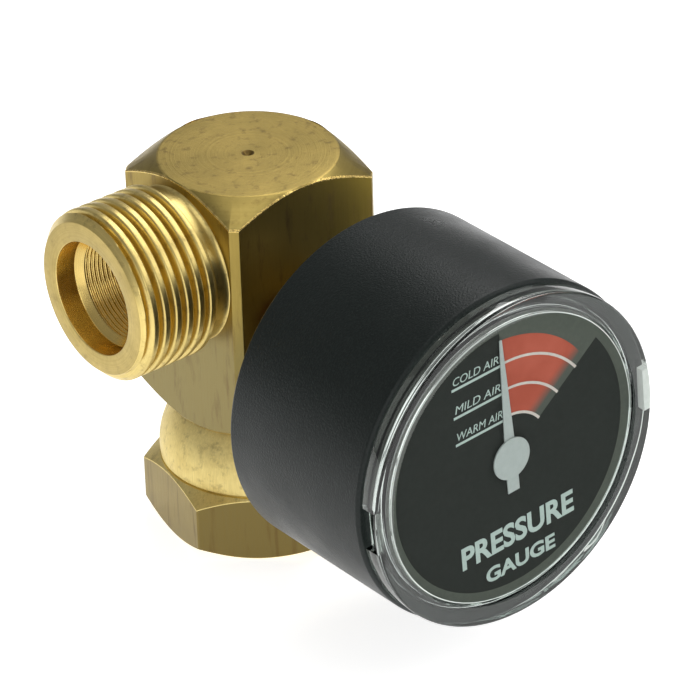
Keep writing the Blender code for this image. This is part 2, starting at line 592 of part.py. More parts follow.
def make_plates(gauge):
    pivot = sector_pivot()
    bearings = [((0, 0), SHAFT_HOLE), (pivot, ARBOR_HOLE)]
    back_holes = [(place, MOVEMENT_SCREW["hole"]) for place in MOVEMENT_SCREWS.values()]
    front_holes = [(place, PLATE_SCREW["hole"]) for place in PILLARS.values()]
    for name, low, own in (("back_plate", BACK_PLATE, back_holes), ("front_plate", FRONT_PLATE, front_holes)):
        plate = add_object(name, prism(PLATE_OUTLINE, low, low + PLATE_THICK), "brass_bright", gauge)
        for place, radius in bearings + own:
            combine(plate, rod(radius, low - 1, low + PLATE_THICK + 1, 16), "DIFFERENCE", at=place)
    low = BACK_PLATE + PLATE_THICK + FINE
    for side, place in PILLARS.items():
        pillar = ring(PILLAR_RADIUS, PLATE_SCREW["hole"], low, FRONT_PLATE - FINE, 14)
        add_object("pillar_" + side, pillar, "brass_bright", gauge, place)
    stop = pivot + polar(STOP_PIN_REACH, SECTOR_ARC[0] - 8.0)
    pin = rod(STOP_PIN_RADIUS, low, GEAR_HEIGHT + GEAR_THICK + 0.4, 12)
    add_object("stop_pin", pin, "steel", gauge, stop)


def make_pointer(gauge):
    """A tapered blade and a short tail on a round capped hub, pushed on the pinion's shaft."""
    low, front = dial_front() + POINTER_LIFT, pointer_front()
    up = 90 + POINTER_REST
    ahead, side = polar(1, up), polar(1, up - 90)
    tip, tail = ahead * POINTER_LENGTH, -ahead * POINTER_TAIL
    at_tail, at_root, at_tip = side * POINTER_TAIL_HALF, side * POINTER_ROOT_HALF, side * POINTER_TIP_HALF
    blade = [tail - at_tail, tail + at_tail, at_root, tip + at_tip, tip - at_tip, -at_root]
    pointer = add_object("pointer", prism(blade, low, low + POINTER_THICK), "pointer_white", gauge)
    combine(pointer, rod(POINTER_HUB_RADIUS, front - POINTER_HUB_THICK, front, 24), "UNION")
    combine(pointer, rod(SHAFT_RADIUS + FINE, low - 1, front - POINTER_HUB_CAP, 16), "DIFFERENCE")


def main():
    clear_scene()
    inlet = axis_empty("inlet_axis", (0, 0, 0), (0, 0, 0))
    outlet = axis_empty("outlet_axis", (0, 0, OUTLET_HEIGHT), (0, -90, 0))
    gauge = axis_empty("gauge_axis", (0, 0, GAUGE_HEIGHT), (90, 0, 0))
    make_body_block(inlet, outlet, gauge)
    make_inlet_washer(inlet)
    make_inlet_nut(inlet)
    for make in (make_gauge_stem, make_stem_seal, make_restrictor_screw, make_gauge_case, make_screws,
                 make_dial_plate, make_lens, make_bourdon_tube, make_tube_tip, make_pinion_shaft,
                 make_sector_gear, make_link, make_hairspring, make_plates, make_pointer):
        make(gauge)


main()
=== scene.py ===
import json
import math

import bmesh
import bpy
import numpy as np
from mathutils import Matrix, Vector


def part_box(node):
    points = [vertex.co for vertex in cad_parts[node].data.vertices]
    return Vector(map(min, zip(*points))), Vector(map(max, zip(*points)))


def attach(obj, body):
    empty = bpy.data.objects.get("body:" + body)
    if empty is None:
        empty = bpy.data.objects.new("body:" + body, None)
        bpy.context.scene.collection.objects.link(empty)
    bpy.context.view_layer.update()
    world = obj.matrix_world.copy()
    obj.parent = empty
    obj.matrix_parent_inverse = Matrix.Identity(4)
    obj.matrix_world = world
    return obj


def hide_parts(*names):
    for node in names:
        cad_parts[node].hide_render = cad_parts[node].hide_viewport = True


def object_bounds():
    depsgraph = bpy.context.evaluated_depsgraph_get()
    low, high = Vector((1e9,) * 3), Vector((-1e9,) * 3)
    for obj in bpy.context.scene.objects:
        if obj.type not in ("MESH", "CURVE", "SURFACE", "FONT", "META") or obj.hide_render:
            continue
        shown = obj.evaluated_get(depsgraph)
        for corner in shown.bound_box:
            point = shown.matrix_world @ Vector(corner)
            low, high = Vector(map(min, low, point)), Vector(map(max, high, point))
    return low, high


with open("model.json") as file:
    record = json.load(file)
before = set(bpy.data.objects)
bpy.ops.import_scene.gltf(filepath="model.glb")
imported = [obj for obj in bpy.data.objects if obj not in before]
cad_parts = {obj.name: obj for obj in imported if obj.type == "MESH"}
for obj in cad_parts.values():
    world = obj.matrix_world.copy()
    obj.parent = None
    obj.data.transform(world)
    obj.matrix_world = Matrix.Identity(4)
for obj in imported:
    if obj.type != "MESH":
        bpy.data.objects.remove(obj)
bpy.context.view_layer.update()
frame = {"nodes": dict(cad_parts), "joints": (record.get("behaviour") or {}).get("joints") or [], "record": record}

# Looks of an inline gas gauge adaptor: a square brass block with a swivel inlet nut, a
# threaded outlet stub and a round black gauge. Lengths are in millimetres unless a name
# says otherwise. A turned shape is drawn as rings of radius and height about an axis:
# the inlet's points up, the outlet's along -X and the gauge's along -Y.

MM = 0.001


def low(node, axis):
    """A node's lowest place on an axis in millimetres; high gives its highest."""
    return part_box(node)[0][axis] / MM


def high(node, axis):
    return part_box(node)[1][axis] / MM


# ---------------------------------------------------------------- sizes from the frame

OPENINGS = {o["name"]: o["box_m"] for o in frame["record"]["physics"]["openings"]}
JOINTS = {j["name"]: j for j in frame["joints"]}

BLOCK_HALF = high("body_block", 0)
BLOCK_TOP = high("body_block", 2)
BLOCK_BOTTOM = 14.8
END_FLAT = 11.7
END_SLOPE = math.tan(math.radians(32))
BAR_FACET = 0.95
EDGE = 0.2                         # softened edge of machined brass
CENTRE_MARK = ((0, 0.6), (0.3, 0.45), (0.55, 0.22), (0.7, 0.04), (0.78, 0.0))    # radius, depth

NECK, NOSE, NOSE_BOTTOM = 8.6, 7.2, 3.5
FLANGE, FLANGE_LOW, FLANGE_HIGH = 10.1, 7.9, 10.9
TUBE, TUBE_BOTTOM = 3.4, 0.3
INLET_BORE, INLET_BORE_TIP = 2.4, 31
PORT, PORT_END = 5.0, 3.6

OUTLET_HEIGHT = sum(OPENINGS["outlet_bore"][k][2] for k in (0, 1)) / 2 / MM
OUTLET_END = -low("body_block", 0)
THREAD_CREST, THREAD_ROOT, THREAD_PITCH = 11.45, 10.29, 1.814
THREAD_RUNOUT = 14.6
BORE_CREST, BORE_ROOT, BORE_PITCH = 6.7, 7.0, 0.62
BORE_END = 9.5
PASSAGE = 3
RECESS_RADIUS, RECESS_DEPTH = 7.6, 2.9
STUB_END_RADIUS, STUB_CHAMFER = 10.2, 0.45

NUT_TOP, NUT_BOTTOM = high("inlet_nut", 2), low("inlet_nut", 2)
NUT_FLATS = 27.0
NUT_TURN = -11.0
HEX_TOP = 6.0
HEX_SLOPE = math.tan(math.radians(34))
NUT_FACE, NUT_GROOVE = 13.3, 12.95
NUT_THREAD, NUT_MOUTH = 10.3, 11.6
CAVITY = 10.6
DOME_RADIUS, DOME_HEIGHT, DOME_FALL = 13.3, 7.6, 0.0552
LIP, LIP_LOW = 9.0, 11.3

GAUGE_HEIGHT = JOINTS["pointer_turn"]["pos_m"][2] / MM
CASE_RADIUS = high("gauge_case", 0)
CASE_BACK, CASE_FRONT = -high("gauge_case", 1), -low("gauge_case", 1)
CASE_HOLE, CASE_INSIDE, CASE_MOUTH = 6.3, 19.6, 20.7
DIAL_LIP_OUTER, DIAL_LIP_INNER = 19.8, 19.0
LENS_RADIUS, LENS_FRONT = high("lens", 2) - GAUGE_HEIGHT, -low("lens", 1)
LENS_THICK, LENS_EDGE = 1.5, 0.4
SKIRT_INNER, SKIRT_OUTER = 20.0, 20.5
WINDOW_RADIUS = 19.5
NOTCH_RADIUS, NOTCH_WIDTH, NOTCH_FRONT = 21.3, 6.0, LENS_FRONT - 0.5
DIAL_TURN = 4.0                    # the gauge is screwed in this far past upright
DIAL_FACE = -low("dial_plate", 1)
DIAL_RADIUS = high("dial_plate", 0)
POINTER_BACK, POINTER_FRONT = -high("pointer", 1), -low("pointer", 1)

UP = Matrix.Identity(4)
OUTLET_AXIS = Matrix.Translation((0, 0, OUTLET_HEIGHT)) @ Matrix.Rotation(math.radians(-90), 4, "Y")
GAUGE_AXIS = Matrix.Translation((0, 0, GAUGE_HEIGHT)) @ Matrix.Rotation(math.radians(90), 4, "X")


# ---------------------------------------------------------------- shader tools

def node(tree, kind, settings=None, **inputs):
    """Add a shader node; inputs are values or sockets, by name with _ for a space."""
    made = tree.nodes.new("ShaderNode" + kind)
    for key, value in (settings or {}).items():
        setattr(made, key, value)
    for key, value in inputs.items():
        plug(tree, made.inputs[key.replace("_", " ")], value)
    return made


def plug(tree, socket, value):
    if isinstance(value, bpy.types.NodeSocket):
        tree.links.new(value, socket)
    else:
        socket.default_value = value


def sums(tree, operation, *values):
    """A Math node's result."""
    made = tree.nodes.new("ShaderNodeMath")
    made.operation = operation
    for socket, value in zip(made.inputs, values):
        plug(tree, socket, value)
    return made.outputs[0]


def blended(tree, share, first, second):
    """A colour between two, as sockets or RGB."""
    made = tree.nodes.new("ShaderNodeMix")
    made.data_type = "RGBA"
    plug(tree, made.inputs[0], share)
    for socket, value in ((made.inputs[6], first), (made.inputs[7], second)):
        plug(tree, socket, value if isinstance(value, bpy.types.NodeSocket) else (*value, 1.0))
    return made.outputs[2]


def vectors(tree, operation, first, second):
    """A Vector Math node on two points, as sockets or numbers."""
    made = node(tree, "VectorMath", {"operation": operation})
    plug(tree, made.inputs[0], first)
    plug(tree, made.inputs[1], second)
    return made


def ranged(tree, value, start, end, out_start=0.0, out_end=1.0):
    """A value carried from one range to another, held at its ends."""
    return node(tree, "MapRange", Value=value, From_Min=start, From_Max=end,
                To_Min=out_start, To_Max=out_end).outputs[0]


def new_material(name, colour, roughness, metallic=0.0):
    made = bpy.data.materials.new(name)
    made.use_nodes = True
    shader = made.node_tree.nodes["Principled BSDF"]
    shader.inputs["Base Color"].default_value = (*colour, 1.0)
    shader.inputs["Roughness"].default_value = roughness
    shader.inputs["Metallic"].default_value = metallic
    return made, made.node_tree, shader


def place_of(tree, scale=(1, 1, 1)):
    """The point on the object in millimetres, stretched by a scale."""
    point = node(tree, "TexCoord").outputs["Object"]
    return vectors(tree, "MULTIPLY", point, [share / MM for share in scale]).outputs[0]


def noise(tree, point, scale, detail=3.0, roughness=0.5):
    """A cloudy value from 0 to 1; scale is about how many clouds lie along a millimetre."""
    return node(tree, "TexNoise", Vector=point, Scale=scale, Detail=detail,
                Roughness=roughness).outputs[0]


def distance_from(tree, centre, flat):
    """Distance in millimetres from an axis through a point; flat has a 0 along the axis."""
    moved = vectors(tree, "SUBTRACT", place_of(tree), centre)
    pressed = vectors(tree, "MULTIPLY", moved.outputs[0], flat)
    return node(tree, "VectorMath", {"operation": "LENGTH"}, Vector=pressed.outputs[0]).outputs["Value"]


def rings_of(tree, radius, scale, detail=4.0):
    """Uneven fine rings that depend on the radius alone, as a lathe tool leaves."""
    return node(tree, "TexNoise", {"noise_dimensions": "1D"}, W=radius, Scale=scale, Detail=detail,
                Roughness=0.75).outputs[0]


def bumped(tree, shader, height, distance, strength=1.0):
    bump = node(tree, "Bump", Height=height, Distance=distance * MM, Strength=strength)
    tree.links.new(bump.outputs[0], shader.inputs["Normal"])


# ---------------------------------------------------------------- brass

BRASS_DARK = (0.22, 0.145, 0.03)
BRASS_MID = (0.48, 0.355, 0.11)
BRASS_PALE = (0.68, 0.505, 0.17)
BRASS_GOLD = (0.82, 0.59, 0.19)
STAIN = (0.14, 0.09, 0.035)
DRAWN_GRAIN = (6, 6, 0.4)          # fine across the bar and long up it


def brass(name, dull, bright, roughness, marks, depth, grain=(2, 2, 2), stain=0.5,
          spot_grain=(0.7, 0.7, 0.7), darkening_bands=()):
    """Machined brass: a mottled colour, darkening bands along the axes, stains and tool marks.

    marks is a function that makes the tool marks' height, and depth is how deep they are in
    millimetres. Each darkening band is an axis, the places on it where the band starts and is
    full, and its colour; most bands are painted shade, as make_brass_set tells.
    """
    made, tree, shader = new_material(name, dull, roughness, 1.0)
    cloud = noise(tree, place_of(tree), 0.16, 4.0, 0.6)
    fine = noise(tree, place_of(tree, grain), 1.0, 4.0, 0.65)
    height = marks(tree)
    colour = blended(tree, ranged(tree, cloud, 0.35, 0.65), dull, bright)
    colour = blended(tree, ranged(tree, fine, 0.35, 0.75, 0.0, 0.4), colour, dull)
    # Each band darkens the brass along one axis; most are painted shade (see make_brass_set).
    for axis, start, full, band_colour in darkening_bands:
        along = node(tree, "SeparateXYZ", Vector=place_of(tree)).outputs[axis]
        unevenness = abs(full - start) / 2
        wander = sums(tree, "MULTIPLY", sums(tree, "SUBTRACT", cloud, 0.5), unevenness)
        ragged = sums(tree, "ADD", along, wander)
        colour = blended(tree, ranged(tree, ragged, start, full), colour, band_colour)
    spots = noise(tree, place_of(tree, spot_grain), 1.0, 5.0, 0.65)
    colour = blended(tree, ranged(tree, spots, 0.54, 0.70, 0.0, stain), colour, STAIN)
    colour = blended(tree, ranged(tree, height, 0.3, 0.7, 0.25, 0.0), colour, BRASS_DARK)
    plug(tree, shader.inputs["Base Color"], colour)
    wear = sums(tree, "ADD", roughness - 0.08, sums(tree, "MULTIPLY", fine, 0.16))
    plug(tree, shader.inputs["Roughness"], wear)
    bumped(tree, shader, sums(tree, "ADD", height, sums(tree, "MULTIPLY", fine, 0.3)), depth)
    return made


def top_marks(tree):
    """Rings round the block's centre, crossed by fainter ones from a second cut off centre."""
    centred = rings_of(tree, distance_from(tree, (0, 0, 0), (1, 1, 0)), 2.6)
    aside = rings_of(tree, distance_from(tree, (-9, 5, 0), (1, 1, 0)), 2.2)
    return sums(tree, "ADD", sums(tree, "MULTIPLY", centred, 0.7), sums(tree, "MULTIPLY", aside, 0.3))


def upright_marks(tree):
    """Streaks that run up and down."""
    return noise(tree, place_of(tree, (5.0, 5.0, 0.12)), 1.0, 5.0, 0.7)


def level_marks(tree):
    """Rings round the vertical axis, one for each height."""
    point = node(tree, "SeparateXYZ", Vector=place_of(tree)).outputs[2]
    return rings_of(tree, point, 3.5)


def nick_marks(tree):
    """Small dents, as a knocked edge has."""
    return noise(tree, place_of(tree), 2.2, 2.0, 0.5)


def outlet_marks(tree):
    """Rings round the outlet's axis, one for each place along it."""
    point = node(tree, "SeparateXYZ", Vector=place_of(tree)).outputs[0]
    return rings_of(tree, point, 4.0)


def outlet_face_marks(tree):
    """Rings on the stub's end, round the outlet's axis."""
    return rings_of(tree, distance_from(tree, (0, 0, OUTLET_HEIGHT), (0, 1, 1)), 4.0)


def make_brass_set():
    """Each finish: its dull and bright colour, roughness, marks, their depth, grain and stains."""
    # Painted shade: the bar's first band darkens its drawn sides towards +X, so the side that carries the gauge is
    # darker than the outlet's side. Its second band only makes the sides greyer and darker towards the bottom.
    bar_shade_and_low_bands = ((0, -13, 7, (0.190, 0.140, 0.022)), (2, 38, 28, (0.235, 0.192, 0.072)))
    # Painted shade: the nut's band darkens its hexagon faces towards -Y, the side that faces the gauge case.
    nut_painted_shade = ((1, -4.9, -5.3, (0.195, 0.150, 0.055)),)
    return {
        "top": brass("brass_turned_top", (0.42, 0.315, 0.095), (0.53, 0.39, 0.117), 0.42,
                     top_marks, 0.045, stain=0.6),
        "pit": brass("brass_stained_pit", STAIN, BRASS_DARK, 0.45, nick_marks, 0.02),
        "bar": brass("brass_drawn_bar", (0.34, 0.25, 0.066), (0.43, 0.315, 0.088), 0.38,
                     upright_marks, 0.012, DRAWN_GRAIN, 0.7, (0.7, 0.7, 0.14), bar_shade_and_low_bands),
        "edge": brass("brass_turned_edge", (0.34, 0.26, 0.078), (0.43, 0.325, 0.097), 0.32,
                      level_marks, 0.008),
        # The top edges' brighter gold is partly knocked, rubbed brass and partly a painted highlight along the
        # edges.
        "nicked_and_highlit": brass("brass_rubbed_edge_highlight", BRASS_PALE, BRASS_GOLD, 0.26, nick_marks, 0.10),
        "stub": brass("brass_thread", (0.70, 0.55, 0.20), (0.84, 0.66, 0.24), 0.33,
                      outlet_marks, 0.002, stain=0.4),
        "bore": brass("brass_bored", BRASS_PALE, BRASS_GOLD, 0.25,
                      outlet_marks, 0.002, (0.6, 0.6, 0.6), 0.1),
        "stub_face": brass("brass_faced", (0.39, 0.297, 0.097), (0.55, 0.42, 0.146), 0.34,
                           outlet_face_marks, 0.008, stain=0.3),
        "nut": brass("brass_hexagon", (0.275, 0.215, 0.085), (0.32, 0.25, 0.095), 0.40,
                     upright_marks, 0.012, DRAWN_GRAIN, 0.85, (0.55, 0.55, 0.05), nut_painted_shade),
        "dome": brass("brass_turned_dome", (0.76, 0.61, 0.24), (0.88, 0.73, 0.31), 0.50,
                      upright_marks, 0.006, (0.8, 0.8, 0.8), 0.4),
    }


# ---------------------------------------------------------------- plastics, paint and others

def black_plastic():
    """Black moulded plastic with a fine leathery grain and a slow change of gloss."""
    made, tree, shader = new_material("black_moulded_plastic", (0.014, 0.0155, 0.017), 0.5)
    shader.inputs["Specular IOR Level"].default_value = 0.22
    grain = noise(tree, place_of(tree), 3.6, 3.0, 0.6)
    cloud = noise(tree, place_of(tree), 0.12, 3.0, 0.5)
    colour = blended(tree, ranged(tree, grain, 0.45, 0.7), (0.0065, 0.0098, 0.0088), (0.0120, 0.0170, 0.0152))
    plug(tree, shader.inputs["Base Color"], colour)
    plug(tree, shader.inputs["Roughness"], ranged(tree, cloud, 0.3, 0.7, 0.26, 0.40))
    bumped(tree, shader, grain, 0.09, 0.7)
    return made


def let_lamps_through(tree, surface):
    """Shadow rays and soft bounced light pass straight through a clear surface."""
    through = node(tree, "BsdfTransparent", Color=(0.92, 0.94, 0.93, 1.0))
    path = node(tree, "LightPath")
    for kind in ("Is Shadow Ray", "Is Diffuse Ray"):
        surface = mixed_shader(tree, path.outputs[kind], surface, through.outputs[0])
    tree.links.new(surface, tree.nodes["Material Output"].inputs["Surface"])


def mixed_shader(tree, share, first, second):
    mix = node(tree, "MixShader")
    for socket, source in zip(mix.inputs, (share, first, second)):
        tree.links.new(source, socket)
    return mix.outputs[0]


def clear_rim():
    """Clear moulded plastic with a slow ripple."""
    made, tree, shader = new_material("clear_moulded_rim", (0.52, 0.57, 0.54), 0.03)
    shader.inputs["Transmission Weight"].default_value = 1.0
    shader.inputs["IOR"].default_value = 1.45
    haze = noise(tree, place_of(tree), 0.35, 5.0, 0.7)
    plug(tree, shader.inputs["Roughness"], ranged(tree, haze, 0.4, 0.8, 0.0, 0.02))
    bumped(tree, shader, noise(tree, place_of(tree), 0.14, 1.0, 0.5), 0.25)
    let_lamps_through(tree, shader.outputs[0])
    return made


COATING = 0.065                    # the share of light that the window's coating keeps from mirroring


def clear_window(name, index, mirrors):
    """A flat clear window's face; one that mirrors does so only at a glancing angle.

    index is how much the face bends light, and 1.0 lets it through unbent.
    """
    made = bpy.data.materials.new(name)
    made.use_nodes = True
    tree = made.node_tree
    tree.nodes.remove(tree.nodes["Principled BSDF"])
    smear = noise(tree, place_of(tree), 0.2, 4.0, 0.6)
    tint = blended(tree, smear, (0.92, 0.95, 0.94), (0.94, 0.97, 0.96))
    surface = node(tree, "BsdfRefraction", Color=tint, Roughness=0.0, IOR=index).outputs[0]
    if mirrors:
        glancing = ranged(tree, node(tree, "Fresnel", IOR=index).outputs[0], COATING, 1.0)
        shine = node(tree, "BsdfAnisotropic", Roughness=0.03)
        surface = mixed_shader(tree, glancing, surface, shine.outputs[0])
    let_lamps_through(tree, surface)
    return made


def printed(name, colour, other, roughness=0.45, grain_depth=0.004, shine=0.25):
    """Ink or paint with a faint unevenness and specks."""
    made, tree, shader = new_material(name, colour, roughness)
    cloud = noise(tree, place_of(tree), 1.6, 5.0, 0.65)
    plug(tree, shader.inputs["Base Color"], blended(tree, ranged(tree, cloud, 0.35, 0.7), colour, other))
    grain = noise(tree, place_of(tree), 9.0, 3.0, 0.6)
    plug(tree, shader.inputs["Roughness"], ranged(tree, grain, 0.3, 0.7, roughness - 0.04, roughness + 0.05))
    shader.inputs["Specular IOR Level"].default_value = shine
    if grain_depth:
        bumped(tree, shader, grain, grain_depth, 0.4)
    return made


def plain_metal(name, colour, other, roughness):
    """A plain metal for the pieces inside, with a faint grain."""
    made, tree, shader = new_material(name, colour, roughness, 1.0)
    grain = noise(tree, place_of(tree), 2.5, 5.0, 0.7)
    plug(tree, shader.inputs["Base Color"], blended(tree, ranged(tree, grain, 0.35, 0.65), colour, other))
    plug(tree, shader.inputs["Roughness"], ranged(tree, grain, 0.3, 0.7, roughness - 0.08, roughness + 0.1))
    bumped(tree, shader, grain, 0.015, 0.5)
    return made


# ---------------------------------------------------------------- mesh tools

SHARP = 32                         # degrees between faces that shade as a sharp edge
LEAST_GAP = 1e-5                   # vertices nearer than this are one


def to_object(name, shape, place, materials, body, sharp=SHARP):
    """A bmesh in millimetres on an axis becomes a piece that rides on a body, if it has one."""
    bmesh.ops.remove_doubles(shape, verts=shape.verts, dist=LEAST_GAP)
    bmesh.ops.dissolve_degenerate(shape, edges=shape.edges, dist=LEAST_GAP)
    bmesh.ops.recalc_face_normals(shape, faces=shape.faces)
    bmesh.ops.transform(shape, matrix=Matrix.Scale(MM, 4) @ place, verts=shape.verts)
    mesh = bpy.data.meshes.new(name)
    shape.to_mesh(mesh)
    shape.free()
    mesh.shade_smooth()
    mesh.set_sharp_from_angle(angle=math.radians(sharp))
    for made in materials:
        mesh.materials.append(made)
    piece = bpy.data.objects.new(name, mesh)
    bpy.context.scene.collection.objects.link(piece)
    if body:
        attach(piece, body)
    return piece


def skin(radii, heights, angles, zones=None, closed=False):
    """A bmesh from rings: radii and heights have a row for each ring and a column for each angle.

    zones gives each row of faces its material. A closed skin joins its last ring to its first.
    """
    shape = bmesh.new()
    rows, columns = radii.shape
    cosines, sines = np.cos(angles), np.sin(angles)
    grid = []
    for row in range(rows):
        if radii[row].max() < 1e-6:
            tip = shape.verts.new((0, 0, heights[row].mean()))
            grid.append([tip] * columns)
            continue
        across, along = radii[row] * cosines, radii[row] * sines
        grid.append([shape.verts.new(corner) for corner in zip(across, along, heights[row])])
    pairs = list(zip(range(rows - 1), range(1, rows)))
    if closed:
        pairs.append((rows - 1, 0))
    for here, after in pairs:
        for k in range(columns):
            following = (k + 1) % columns
            corners = [grid[here][k], grid[here][following], grid[after][following], grid[after][k]]
            corners = list(dict.fromkeys(corners))
            if len(corners) > 2:
                face = shape.faces.new(corners)
                face.material_index = zones[here] if zones else 0
    return shape


class Rings:
    """Rings about an axis, each with the material of the faces from it to the next ring."""

    def __init__(self, angles):
        self.angles = angles
        self.radii, self.heights, self.zones = [], [], []

    def add(self, radius, height, zone):
        """Add a ring; its radius and height are numbers, or arrays with a value for each angle."""
        ones = np.ones_like(self.angles)
        self.radii.append(radius * ones)
        self.heights.append(height * ones)
        self.zones.append(zone)

    def skin(self, closed=False):
        return skin(np.array(self.radii), np.array(self.heights), self.angles, self.zones, closed)


def even_angles(count):
    return np.linspace(0, 2 * math.pi, count, endpoint=False)


def angles_with(count, corners, spread=2.0, step=0.2):
    """Even angles with more of them near some corners; corners, spread and step are in degrees."""
    found = set(np.round(np.degrees(even_angles(count)), 4))
    for corner in corners:
        found |= set(np.round(np.arange(corner - spread, corner + spread + step / 2, step) % 360, 4))
    return np.radians(sorted(found))


def reach(angles, normals, distances, power):
    """Distance from the axis to a many-sided outline in each direction.

    normals are the sides' directions in degrees. A higher power makes sharper corners.
    """
    nearest = min(distances)
    total = np.zeros_like(angles)
    for normal, distance in zip(normals, distances):
        facing = np.maximum(np.cos(angles - math.radians(normal)), 0)
        total += (facing * nearest / distance) ** power
    return nearest * total ** (-1 / power)


def softened(outline, radius, steps=3):
    """An outline of (radius, height) points with its corners rounded; the ends stay.

    A corner of more than 168 degrees is left as it is, and no curve takes up more than 0.45 of
    a side.
    """
    made = [outline[0]]
    for before, corner, after in zip(outline, outline[1:], outline[2:]):
        here, back, ahead = Vector(corner), Vector(before), Vector(after)
        into, out = back - here, ahead - here
        bend = into.angle(out, math.pi)
        room = min(into.length, out.length) * 0.45
        if bend > math.radians(168) or room < 1e-6:
            made.append(corner)
            continue
        cut = min(radius / math.tan(bend / 2), room)
        start, end = here + into.normalized() * cut, here + out.normalized() * cut
        for step in range(steps + 1):
            share = step / steps
            made.append(tuple(start * (1 - share) ** 2 + here * 2 * share * (1 - share) + end * share ** 2))
    return made + [outline[-1]]


def lathe(outline, count=160, closed=True, zones=None):
    """A turned skin from an outline of (radius, height) points."""
    flat = np.array(outline, float)
    spread = np.ones((1, count))
    return skin(flat[:, :1] * spread, flat[:, 1:] * spread, even_angles(count), zones, closed)


def joined(target, other):
    """Add one bmesh's faces to another's."""
    mesh = bpy.data.meshes.new("part")
    other.to_mesh(mesh)
    other.free()
    target.from_mesh(mesh)
    bpy.data.meshes.remove(mesh)
    return target


def boxed(low_corner, high_corner):
    """A box between two corners."""
    shape = bmesh.new()
    bmesh.ops.create_cube(shape, size=1.0)
    low_corner, high_corner = Vector(low_corner), Vector(high_corner)
    middle = (low_corner + high_corner) / 2
    bmesh.ops.scale(shape, vec=high_corner - low_corner, verts=shape.verts)
    bmesh.ops.translate(shape, vec=middle, verts=shape.verts)
    return shape


def cut_from(piece, shape, place):
    """Cut a bmesh from a piece and keep the result as the piece's mesh."""
    tool = to_object("tool", shape, place, piece.data.materials, None)
    step = piece.modifiers.new("cut", "BOOLEAN")
    step.operation = "DIFFERENCE"
    step.solver = "EXACT"
    step.object = tool
    bpy.context.view_layer.update()
    shown = piece.evaluated_get(bpy.context.evaluated_depsgraph_get())
    mesh = bpy.data.meshes.new_from_object(shown)
    piece.modifiers.clear()
    piece.data = mesh
    mesh.set_sharp_from_angle(angle=math.radians(SHARP))
    bpy.data.objects.remove(tool, do_unlink=True)


def thread_form(share, breadth):
    """A rounded thread over one pitch, from 0 at the root to 1 at its broad crest."""
    return 1 - (0.5 - 0.5 * np.cos(2 * math.pi * share)) ** breadth


# ---------------------------------------------------------------- the block

def edge_steps(slope):
    """Steps over a softened edge, from its sloped side on: how far in and how far down each is."""
    return [(EDGE, -EDGE * slope), (EDGE * 0.35, EDGE * 0.05), (EDGE * 0.05, EDGE * 0.4)]


def make_block(finishes):
    """The square bar with turned ends, and the inlet spigot turned from it."""
    corner = math.degrees(math.atan2(BLOCK_HALF - BAR_FACET, BLOCK_HALF))
    edges = [90 * side + way * corner for side in range(4) for way in (-1, 1)]
    angles = angles_with(120, edges)
    normals = [90 * side for side in range(4)] + [45 + 90 * side for side in range(4)]
    facet = (2 * BLOCK_HALF - BAR_FACET) / math.sqrt(2)
    side = reach(angles, normals, [BLOCK_HALF] * 4 + [facet] * 4, 900)
    rings = Rings(angles)
    faced, turned, drawn, nicked_and_highlit, pit = range(5)

    for radius, depth in CENTRE_MARK:
        rings.add(radius, BLOCK_TOP - depth, pit)
    for radius in (0.84, 1.0, 4, 8, END_FLAT - EDGE):
        rings.add(radius, BLOCK_TOP, faced)
    rings.add(END_FLAT - EDGE * 0.3, BLOCK_TOP - EDGE * 0.06, faced)
    rings.add(END_FLAT + EDGE * 0.4, BLOCK_TOP - EDGE * 0.35, turned)
    top_edge = BLOCK_TOP - (side - END_FLAT) * END_SLOPE
    low_edge = BLOCK_BOTTOM + (side - END_FLAT) * END_SLOPE
    # The rounded edge below the top chamfer takes the brighter gold: a painted highlight on knocked brass.
    for inset, fall in edge_steps(END_SLOPE):
        rings.add(side - np.minimum(inset, side - END_FLAT), top_edge - fall, nicked_and_highlit)
    rings.add(side, top_edge - EDGE, drawn)
    rings.add(side, low_edge + EDGE, drawn)
    for inset, rise in edge_steps(END_SLOPE)[::-1]:
        rings.add(side - np.minimum(inset, side - END_FLAT), low_edge + rise, turned)
    spigot = [(END_FLAT, BLOCK_BOTTOM), (NECK, BLOCK_BOTTOM), (NECK, FLANGE_HIGH),
              (FLANGE, FLANGE_HIGH), (FLANGE, FLANGE_LOW), (NOSE, FLANGE_LOW), (NOSE, NOSE_BOTTOM),
              (TUBE, NOSE_BOTTOM), (TUBE, TUBE_BOTTOM), (INLET_BORE, TUBE_BOTTOM),
              (INLET_BORE, INLET_BORE_TIP - 1), (0, INLET_BORE_TIP)]
    for radius, height in softened(spigot, 0.25)[:-1]:
        rings.add(radius, height, turned)
    rings.add(0, INLET_BORE_TIP, turned)

    finish = [finishes[kind] for kind in ("top", "edge", "bar", "nicked_and_highlit", "pit")]
    block = to_object("block", rings.skin(), UP, finish, "adaptor")
    outside = BLOCK_HALF + 1
    bore = [(0, -PASSAGE), (PASSAGE, -PASSAGE), (PASSAGE, 8), (BORE_CREST - 0.1, BORE_END),
            (7.5, BORE_END), (7.5, outside), (0, outside)]
    cut_from(block, lathe(bore, 64), OUTLET_AXIS)
    port = [(0, 0.5), (1.8, 0.5), (1.8, 2.8), (PORT, PORT_END), (PORT, BLOCK_HALF - 0.6),
            (PORT + 0.8, BLOCK_HALF + 0.2), (PORT + 0.8, outside), (0, outside)]
    cut_from(block, lathe(port, 64), GAUGE_AXIS)
    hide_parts("body_block")


